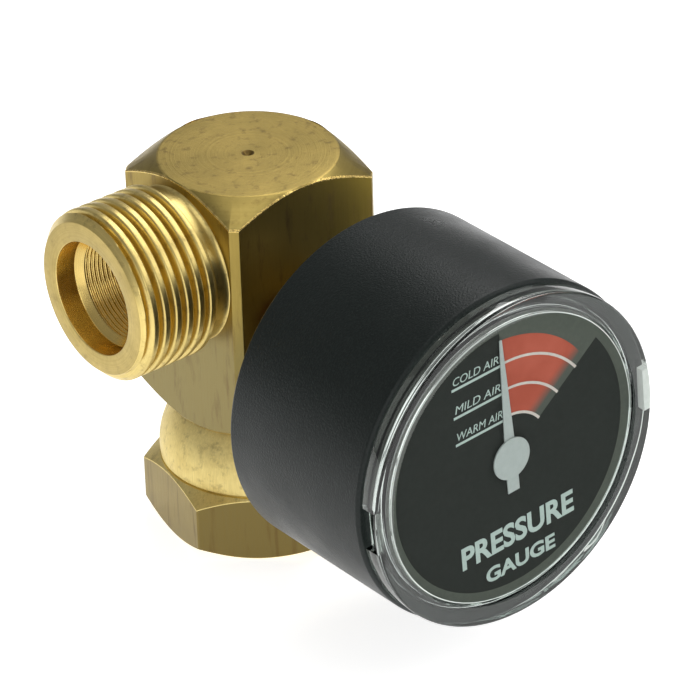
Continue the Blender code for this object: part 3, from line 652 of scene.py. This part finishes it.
def outlet_rings():
    """The outlet stub's closed outline, as radius, height and thread: inner, outer or None."""
    points = []

    def run(start, end, steps, thread=None):
        """Even steps from one place towards another, which is left out."""
        for step in range(steps):
            share = step / steps
            radius, height = (here + (there - here) * share for here, there in zip(start, end))
            points.append((radius, height, thread))

    floor, chamfer = OUTLET_END - RECESS_DEPTH, OUTLET_END - STUB_CHAMFER
    run((BORE_CREST, BORE_END), (BORE_CREST, floor - 0.9), 200, "inner")
    run((BORE_CREST, floor - 0.9), (BORE_CREST + 0.1, floor - 0.8), 1)
    mouth = [(BORE_CREST + 0.1, floor - 0.8), (RECESS_RADIUS, floor), (RECESS_RADIUS, OUTLET_END),
             (STUB_END_RADIUS, OUTLET_END), (STUB_END_RADIUS + STUB_CHAMFER, chamfer)]
    points += [(radius, height, None) for radius, height in softened(mouth, 0.18)[1:-1]]
    run((THREAD_CREST, chamfer), (THREAD_CREST, THREAD_RUNOUT - 1.2), 170, "outer")
    run((THREAD_ROOT, THREAD_RUNOUT - 1.2), (THREAD_ROOT, BLOCK_HALF + 0.3), 3)
    run((THREAD_ROOT + 0.1, BLOCK_HALF + 0.12), (THREAD_ROOT + 0.3, BLOCK_HALF - 0.05), 2)
    run((THREAD_ROOT + 0.3, BLOCK_HALF - 0.05), (THREAD_ROOT + 0.3, BORE_END), 1)
    points.append((THREAD_ROOT + 0.3, BORE_END, None))
    return points


def make_outlet(finishes):
    """The outlet stub with a left-hand outside thread and a fine thread in its bore."""
    rings = Rings(even_angles(220))
    turn = rings.angles / (2 * math.pi)
    threaded, faced, bored = range(3)
    for radius, height, thread in outlet_rings():
        reached = radius
        if thread == "outer":
            form = thread_form(height / THREAD_PITCH + turn, 3.6)
            full = THREAD_ROOT + (THREAD_CREST - THREAD_ROOT) * form
            chamfered = STUB_END_RADIUS + (OUTLET_END - height)
            fade = min(1.0, max(0.0, (height - (THREAD_RUNOUT - 1.0)) / 0.9))
            reached = THREAD_ROOT + (np.minimum(full, chamfered) - THREAD_ROOT) * fade
        elif thread == "inner":
            form = thread_form(height / BORE_PITCH - turn, 1.3)
            reached = BORE_CREST + (BORE_ROOT - BORE_CREST) * form
        zone = threaded
        if height > OUTLET_END - 0.02 and radius < STUB_END_RADIUS:
            zone = faced
        elif radius <= RECESS_RADIUS:
            zone = bored
        rings.add(reached, height, zone)
    finish = [finishes["stub"], finishes["stub_face"], finishes["bore"]]
    stub = to_object("outlet_stub", rings.skin(closed=True), OUTLET_AXIS, finish, "adaptor",
                     60)
    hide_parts("body_block")


# ---------------------------------------------------------------- the nut

def make_nut(finishes):
    """The hexagon nut with its swaged, domed skirt and the thread inside it."""
    edges = [NUT_TURN - 90 + 60 * side for side in range(6)]
    angles = angles_with(144, edges)
    side = reach(angles, [edge + 30 for edge in edges], [NUT_FLATS / 2] * 6, 700)
    rings = Rings(angles)
    drawn, turned = range(2)

    dome = [(DOME_RADIUS - DOME_FALL * (height - DOME_HEIGHT) ** 2, height)
            for height in np.linspace(NUT_TOP - 0.35, HEX_TOP + 0.35, 12)]
    lip = [(LIP, LIP_LOW), (LIP, NUT_TOP), (dome[0][0] - 0.35, NUT_TOP), dome[0], dome[1]]
    groove = [(NUT_GROOVE, HEX_TOP + 0.12), (NUT_GROOVE, HEX_TOP), (NUT_FACE, HEX_TOP)]
    for radius, height in softened(lip, 0.12)[:-1] + dome[1:] + groove:
        rings.add(radius, height, turned)
    top_edge = HEX_TOP - (side - NUT_FACE) * HEX_SLOPE
    low_edge = NUT_BOTTOM + (side - NUT_FACE) * HEX_SLOPE
    halfway = (side - NUT_FACE) * 0.5
    for inset, fall in edge_steps(HEX_SLOPE):
        rings.add(side - np.minimum(inset, halfway), top_edge - fall * 0.6, turned)
    rings.add(side, top_edge - EDGE, drawn)
    rings.add(side, low_edge + EDGE, drawn)
    for inset, rise in edge_steps(HEX_SLOPE)[::-1]:
        rings.add(side - np.minimum(inset, halfway), low_edge + rise * 0.6, turned)
    foot = [(NUT_FACE + 0.1, NUT_BOTTOM + 0.05), (NUT_FACE, NUT_BOTTOM), (NUT_MOUTH, NUT_BOTTOM),
            (NUT_MOUTH - 0.7, NUT_BOTTOM + 0.7)]
    for radius, height in softened(foot, 0.1)[1:]:
        rings.add(radius, height, turned)
    turn = angles / (2 * math.pi)
    thread_end, faded_out = 6.4, 6.45
    for height in np.linspace(NUT_BOTTOM + 0.75, thread_end, 110):
        form = thread_form(height / THREAD_PITCH + turn, 1.5)
        fade = min(1.0, (faded_out - height) / 0.5)
        threaded = THREAD_CREST - (THREAD_CREST - NUT_THREAD) * form * fade
        chamfered = NUT_MOUTH - (height - NUT_BOTTOM)
        rings.add(np.maximum(threaded, chamfered), height, turned)
    for radius, height in ((11.4, 6.5), (CAVITY, 6.8), (CAVITY, 11.1), (CAVITY - 0.2, LIP_LOW)):
        rings.add(radius, height, turned)

    finish = [finishes["nut"], finishes["dome"]]
    nut = to_object("swivel_nut", rings.skin(closed=True), UP, finish, "swivel")
    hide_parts("inlet_nut")


# ---------------------------------------------------------------- the gauge's housing

def make_case(finish):
    """The black cup: a groove in its mouth takes the window's skirt, and a lip inside carries the dial."""
    wall, floor, groove, lip = CASE_RADIUS, CASE_BACK + 2.2, CASE_FRONT - 1.1, DIAL_FACE - 0.7
    outline = [(CASE_HOLE, floor), (CASE_HOLE, CASE_BACK), (wall - 0.8, CASE_BACK), (wall, CASE_BACK + 0.8),
               (wall, CASE_FRONT - 0.35), (wall - 0.35, CASE_FRONT), (CASE_MOUTH, CASE_FRONT),
               (CASE_MOUTH, groove), (DIAL_LIP_OUTER, groove), (DIAL_LIP_OUTER, lip),
               (DIAL_LIP_INNER, lip), (DIAL_LIP_INNER, lip - 2), (CASE_INSIDE, lip - 2.6),
               (CASE_INSIDE, floor)]
    shape = lathe(softened(outline, 0.45, 5) + [outline[0]], 240)
    case = to_object("case", shape, GAUGE_AXIS, [finish], "adaptor")
    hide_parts("gauge_case")


def arc_points(centre, radius, first, last, steps):
    """Points on an arc as (radius, height), by angle in degrees."""
    turns = np.radians(np.linspace(first, last, steps + 1))
    return [(centre[0] + radius * math.cos(t), centre[1] + radius * math.sin(t)) for t in turns]


def make_lens(finish):
    """A flat window in a thick clear rim; a corner inside it is frosted and shows as a pale line.

    finish has four materials: the rim's, the window's front, the frosted corner's and the
    window's back.
    """
    back, rim = LENS_FRONT - LENS_THICK, CASE_FRONT + 0.3
    shoulder, skirt = DIAL_FACE + 0.3, CASE_FRONT - 0.8
    frost = 0.14
    clear, mirroring, frosted, inside = range(4)
    window = [(0, back), (6, back), (12, back), (WINDOW_RADIUS - frost, back)]
    sides = [(WINDOW_RADIUS, back - frost), (WINDOW_RADIUS, shoulder), (SKIRT_INNER, shoulder),
             (SKIRT_INNER, skirt), (SKIRT_OUTER, skirt), (SKIRT_OUTER, rim), (LENS_RADIUS, rim),
             (LENS_RADIUS, LENS_FRONT - LENS_EDGE)]
    sides = softened(sides, 0.08, 2)
    sides += arc_points((LENS_RADIUS - LENS_EDGE, LENS_FRONT - LENS_EDGE), LENS_EDGE, 10, 90, 6)
    front = [(WINDOW_RADIUS + 0.2, LENS_FRONT), (12, LENS_FRONT), (6, LENS_FRONT), (0, LENS_FRONT)]
    zones = [inside] * 3 + [frosted] + [clear] * len(sides) + [mirroring] * len(front)
    shape = lathe(window + sides + front, 288, False, zones)
    lens = to_object("window", shape, GAUGE_AXIS, finish, "adaptor")
    for side, zone in ((0, frosted), (180, clear)):
        notch = boxed((NOTCH_RADIUS, -NOTCH_WIDTH / 2, rim - 1),
                      (LENS_RADIUS + 1, NOTCH_WIDTH / 2, NOTCH_FRONT))
        for face in notch.faces:
            face.material_index = zone
        cut_from(lens, notch, GAUGE_AXIS @ Matrix.Rotation(math.radians(side + DIAL_TURN), 4, "Z"))
    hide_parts("lens")


# ---------------------------------------------------------------- the dial

DIAL_HOLE, DIAL_THICK = 1.0, 0.4
PRINT_RADIUS = 18.3
SECTOR_START, SECTOR_END = -1.0, 54.5    # degrees to the right of the dial's top
ARCS = (6.1, 10.0, 13.85)
UNDERLINES = (13.88, 9.85, 5.95)
UNDERLINE_LEFT, UNDERLINE_RIGHT = -8.3, -0.3
LINE = 0.36                        # a printed line's width
INK = 0.02                         # a printed layer's thickness


def dial_point(radius, degrees):
    """A point on the dial, by its angle to the right of the dial's top."""
    angle = math.radians(degrees)
    return Vector((radius * math.sin(angle), radius * math.cos(angle)))


def thicken(shape, faces, height):
    grown = bmesh.ops.extrude_face_region(shape, geom=faces)["geom"]
    lifted = [part for part in grown if isinstance(part, bmesh.types.BMVert)]
    bmesh.ops.translate(shape, vec=(0, 0, height), verts=lifted)


def flat_shape(outline, low_height, high_height):
    """A flat piece between two heights, from its outline."""
    shape = bmesh.new()
    face = shape.faces.new([shape.verts.new((x, y, low_height)) for x, y in outline])
    thicken(shape, [face], high_height - low_height)
    return shape


def sector(inner, outer, start, end, steps=48):
    """An outline between two radii; outer may be a function of the angle."""
    reached = outer if callable(outer) else (lambda degrees: outer)
    turns = np.linspace(start, end, steps + 1)
    return ([dial_point(reached(t), t) for t in turns]
            + [dial_point(inner, t) for t in turns[::-1]])


def lettering(text, height, left, right, baseline, level, lean=0.0, bold=0.0):
    """Thin letters as a bmesh, between two sides of the dial, above a baseline and on a level."""
    curve = bpy.data.curves.new("letters", "FONT")
    curve.body = text
    curve.shear = lean
    curve.offset = bold / height
    curve.resolution_u = 4
    maker = bpy.data.objects.new("letters", curve)
    bpy.context.scene.collection.objects.link(maker)
    bpy.context.view_layer.update()
    shown = maker.evaluated_get(bpy.context.evaluated_depsgraph_get())
    mesh = bpy.data.meshes.new_from_object(shown)
    bpy.data.objects.remove(maker, do_unlink=True)
    shape = bmesh.new()
    shape.from_mesh(mesh)
    across = [vert.co.x for vert in shape.verts]
    tall = max(vert.co.y for vert in shape.verts)
    size = ((right - left) / (max(across) - min(across)), height / tall, 1)
    bmesh.ops.translate(shape, vec=(-min(across), 0, 0), verts=shape.verts)
    bmesh.ops.scale(shape, vec=size, verts=shape.verts)
    bmesh.ops.translate(shape, vec=(left, baseline, 0), verts=shape.verts)
    thicken(shape, shape.faces[:], INK)
    bmesh.ops.translate(shape, vec=(0, 0, level), verts=shape.verts)
    return shape


def red_edge(degrees):
    """The red ink's outer radius, which shrinks a little round the sector."""
    return 17.2 - 1.7 * max(degrees, 0) / SECTOR_END


def make_dial(finishes):
    """The dial's disc with its inks printed on it, and the lines and letters printed on those."""
    turned = GAUGE_AXIS @ Matrix.Rotation(math.radians(DIAL_TURN), 4, "Z")

    def put(name, shape, kind):
        return to_object(name, shape, turned, [finishes[kind]], "adaptor")

    back = DIAL_FACE - DIAL_THICK
    disc = [(DIAL_HOLE, back), (DIAL_RADIUS, back), (DIAL_RADIUS, DIAL_FACE), (DIAL_HOLE, DIAL_FACE),
            (DIAL_HOLE, DIAL_FACE - DIAL_THICK / 2)]
    plate = put("dial_disc", lathe(softened(disc, 0.05), 200), "dial_grey")
    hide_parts("dial_plate")

    # The inks make a first layer, and the lines and letters a second one on them.
    first = DIAL_FACE + 0.005
    second = first + INK
    around = sector(DIAL_HOLE, PRINT_RADIUS, SECTOR_END, 360 + SECTOR_START, 200)
    middle = sector(DIAL_HOLE, ARCS[0], SECTOR_START, SECTOR_END, 40)
    put("dial_black_print", joined(flat_shape(around, first, second), flat_shape(middle, first, second)),
        "dial_black")
    red = sector(ARCS[0], red_edge, SECTOR_START, SECTOR_END)
    put("dial_red_print", flat_shape(red, first, first + INK * 0.5), "dial_red")

    lines = bmesh.new()
    for radius in ARCS:
        arc = sector(radius - LINE / 2, radius + LINE / 2, 0.5, SECTOR_END + 0.5, 40)
        joined(lines, flat_shape(arc, second, second + INK))
    put("dial_arcs", lines, "dial_pink")

    words = bmesh.new()
    for top, label in zip(UNDERLINES, ("COLD AIR", "MILD AIR", "WARM AIR")):
        underline = [(UNDERLINE_LEFT, top - LINE), (UNDERLINE_RIGHT, top - LINE),
                     (UNDERLINE_RIGHT, top), (UNDERLINE_LEFT, top)]
        joined(words, flat_shape(underline, second, second + INK))
        joined(words, lettering(label, 1.1, -8.0, -0.7, top + 0.35, second, lean=0.2))
    for label, height, left, right, baseline, bold in (("PRESSURE", 3.2, -8.8, 9.6, -12.6, 0.10),
                                                       ("GAUGE", 2.1, -5.2, 6.2, -16.5, 0.07)):
        joined(words, lettering(label, height, left, right, baseline, second, bold=bold))
    put("dial_lettering", words, "dial_pale")


def dial_red(grey):
    """Red ink that fades into the grey of the dial along the sector's last edge."""
    made, tree, shader = new_material("dial_red_ink", (0.52, 0.10, 0.075), 0.45)
    angle = math.radians(90 - SECTOR_END + DIAL_TURN)
    across = Vector((math.sin(angle), 0, -math.cos(angle)))
    point = place_of(tree)
    moved = vectors(tree, "SUBTRACT", point, (0, 0, GAUGE_HEIGHT))
    from_edge = vectors(tree, "DOT_PRODUCT", moved.outputs[0], across)
    fade = ranged(tree, from_edge.outputs["Value"], -2.6, -0.9)
    cloud = noise(tree, point, 0.25, 3.0, 0.5)
    red = blended(tree, ranged(tree, cloud, 0.35, 0.65), (0.445, 0.091, 0.058), (0.525, 0.116, 0.077))
    plug(tree, shader.inputs["Base Color"], blended(tree, fade, red, grey))
    shader.inputs["Specular IOR Level"].default_value = 0.1
    return made


# ---------------------------------------------------------------- the pointer

POINTER_REST = 5                   # degrees to the left of upright
BLADE_THICK = 0.25
HUB_RADIUS, HUB_THICK = 2.9, 0.4


def make_pointer(paint):
    """A tapered blade and a short square tail on a round hub."""
    up = math.radians(90 + POINTER_REST)
    ahead, side = Vector((math.cos(up), math.sin(up))), Vector((math.sin(up), -math.cos(up)))
    tip, waist, tail = ahead * 17.3, ahead * 2.5, ahead * -5.0
    broad, slim, fine = side * 0.93, side * 0.8, side * 0.2
    outline = [tail - broad, tail + broad, broad, waist + slim, tip + fine, tip + ahead * 0.12,
               tip - fine, waist - slim, -broad]
    shape = flat_shape(outline, POINTER_BACK, POINTER_BACK + BLADE_THICK)
    above = POINTER_BACK + 0.1
    front = [edge for edge in shape.edges if min(vert.co.z for vert in edge.verts) > above]
    bmesh.ops.bevel(shape, geom=front, offset=0.05, segments=2, affect="EDGES", profile=0.5)
    hub_back = POINTER_FRONT - HUB_THICK
    hub = [(0, hub_back), (HUB_RADIUS, hub_back), (HUB_RADIUS, POINTER_FRONT), (1.5, POINTER_FRONT),
           (0, POINTER_FRONT)]
    joined(shape, lathe(softened(hub, 0.08), 96, closed=False))
    pointer = to_object("needle", shape, GAUGE_AXIS, [paint], "pointer_shaft", 30)
    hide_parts("pointer")


# ---------------------------------------------------------------- stage, lights and camera

def area_light(name, place, aim, size, watts):
    data = bpy.data.lights.new(name, "AREA")
    data.shape = "RECTANGLE"
    data.size, data.size_y = size
    data.energy = watts
    lamp = bpy.data.objects.new(name, data)
    lamp.location = place
    lamp.rotation_euler = (Vector(aim) - Vector(place)).to_track_quat("-Z", "Y").to_euler()
    bpy.context.scene.collection.objects.link(lamp)


def make_stage():
    """A plain pale floor at the object's foot, which glows a little so that it stays near white."""
    floor_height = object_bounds()[0].z
    shape = bmesh.new()
    bmesh.ops.create_grid(shape, x_segments=40, y_segments=40, size=1.5)
    bmesh.ops.translate(shape, vec=(0, 0, floor_height), verts=shape.verts)
    mesh = bpy.data.meshes.new("floor")
    shape.to_mesh(mesh)
    shape.free()
    made, tree, shader = new_material("floor_paper", (0.9, 0.9, 0.9), 0.9)
    cloud = noise(tree, place_of(tree), 0.02, 3.0, 0.5)
    plug(tree, shader.inputs["Base Color"], blended(tree, cloud, (0.88, 0.88, 0.88), (0.91, 0.91, 0.91)))
    shader.inputs["Specular IOR Level"].default_value = 0.1
    shader.inputs["Emission Color"].default_value = (1, 1, 1, 1)
    shader.inputs["Emission Strength"].default_value = 0.72
    mesh.materials.append(made)
    floor = bpy.data.objects.new("floor", mesh)
    bpy.context.scene.collection.objects.link(floor)


def make_lights():
    """A soft white world and five soft lamps; each has a place, an aim, a size in metres and watts."""
    world = bpy.data.worlds.new("studio")
    bpy.context.scene.world = world
    world.use_nodes = True
    world.node_tree.nodes["Background"].inputs["Color"].default_value = (1, 1, 1, 1)
    world.node_tree.nodes["Background"].inputs["Strength"].default_value = 0.34
    area_light("key", (0.27, 0.17, 0.45), (0, 0, 0.03), (0.28, 0.28), 0.75)
    area_light("overhead", (-0.04, -0.06, 0.50), (0, 0, 0.03), (0.30, 0.30), 0.34)
    area_light("between", (0.27, -0.08, 0.42), (0, 0, 0.03), (0.20, 0.20), 0.30)
    area_light("side", (0.32, -0.33, 0.32), (0, 0, 0.03), (0.30, 0.30), 0.50)
    area_light("fill", (-0.35, -0.45, 0.24), (0, 0, 0.02), (0.40, 0.36), 0.70)
    scene = bpy.context.scene
    scene.view_settings.view_transform = "Standard"
    scene.view_settings.look = "None"


def make_camera():
    """The camera looks down on the outlet's side of the gauge from about half a metre."""
    azimuth, elevation, roll = (math.radians(angle) for angle in (-38.524, 30.388, -1.703))
    distance, across, above = 581.899, 13.071, -25.235
    back = Vector((math.sin(azimuth) * math.cos(elevation), -math.cos(azimuth) * math.cos(elevation),
                   math.sin(elevation)))
    level = Vector((math.cos(azimuth), math.sin(azimuth), 0))
    upright = back.cross(level)
    right = level * math.cos(roll) + upright * math.sin(roll)
    up = upright * math.cos(roll) - level * math.sin(roll)
    data = bpy.data.cameras.new("camera")
    data.sensor_width = 36.0
    data.lens = 233.84
    data.clip_start, data.clip_end = 0.01, 10.0
    camera = bpy.data.objects.new("camera", data)
    place = Vector((0, 0, BLOCK_TOP)) + back * distance + right * across + up * above
    turn = Matrix((right, up, back)).transposed().to_4x4()
    camera.matrix_world = Matrix.Translation(place * MM) @ turn
    bpy.context.scene.collection.objects.link(camera)
    bpy.context.scene.camera = camera


# ---------------------------------------------------------------- put together

NODE_FINISH = {
    "inlet_washer": "rubber", "stem_seal": "fibre", "bourdon_tube": "bronze", "hairspring": "bronze",
    "case_screw_top": "steel", "case_screw_bottom": "steel", "movement_screw_top": "steel",
    "movement_screw_bottom": "steel", "plate_screw_left": "steel", "plate_screw_right": "steel",
    "stop_pin": "steel", "link": "steel",
}


def dress_nodes(finishes):
    """Give the CAD nodes their own materials; those not listed above are brass."""
    for name, cad in frame["nodes"].items():
        for place in cad.material_slots:
            place.material = finishes[NODE_FINISH.get(name, "inner_brass")]


def main():
    """Light and draw the object."""
    make_camera()
    make_lights()
    make_stage()
    brasses = make_brass_set()
    grey = (0.097, 0.101, 0.088)
    finishes = {
        "inner_brass": plain_metal("brass_movement", BRASS_MID, BRASS_PALE, 0.3),
        "bronze": plain_metal("bronze_spring", (0.55, 0.33, 0.18), (0.63, 0.40, 0.22), 0.3),
        "steel": plain_metal("steel_plated", (0.48, 0.48, 0.49), (0.60, 0.60, 0.61), 0.3),
        "rubber": printed("rubber_black", (0.015, 0.015, 0.015), (0.028, 0.028, 0.028), 0.65),
        "fibre": printed("fibre_red", (0.26, 0.05, 0.03), (0.36, 0.09, 0.05), 0.7),
        "dial_grey": printed("dial_plastic_grey", grey, (0.113, 0.117, 0.10), 0.4, shine=0.1),
        "dial_black": printed("dial_black_ink", (0.0370, 0.0378, 0.0355), (0.0405, 0.0412, 0.0388), 0.7,
                              grain_depth=0, shine=0.0),
        "dial_red": dial_red(grey),
        "dial_pink": printed("dial_arc_ink", (0.70, 0.60, 0.56), (0.62, 0.52, 0.49), 0.45),
        "dial_pale": printed("dial_pale_ink", (0.51, 0.58, 0.55), (0.46, 0.52, 0.50), 0.45),
        "needle": printed("needle_paint", (0.445, 0.460, 0.455), (0.485, 0.500, 0.495), 0.45),
        "frosted": printed("lens_frosted_edge", (0.75, 0.77, 0.74), (0.85, 0.86, 0.84), 0.5),
    }
    make_block(brasses)
    make_outlet(brasses)
    make_nut(brasses)
    make_case(black_plastic())
    make_lens([clear_rim(), clear_window("clear_coated_window", 1.45, True), finishes["frosted"],
               clear_window("clear_window_inside", 1.0, False)])
    make_dial(finishes)
    make_pointer(finishes["needle"])
    dress_nodes(finishes)
    bpy.context.view_layer.update()


main()
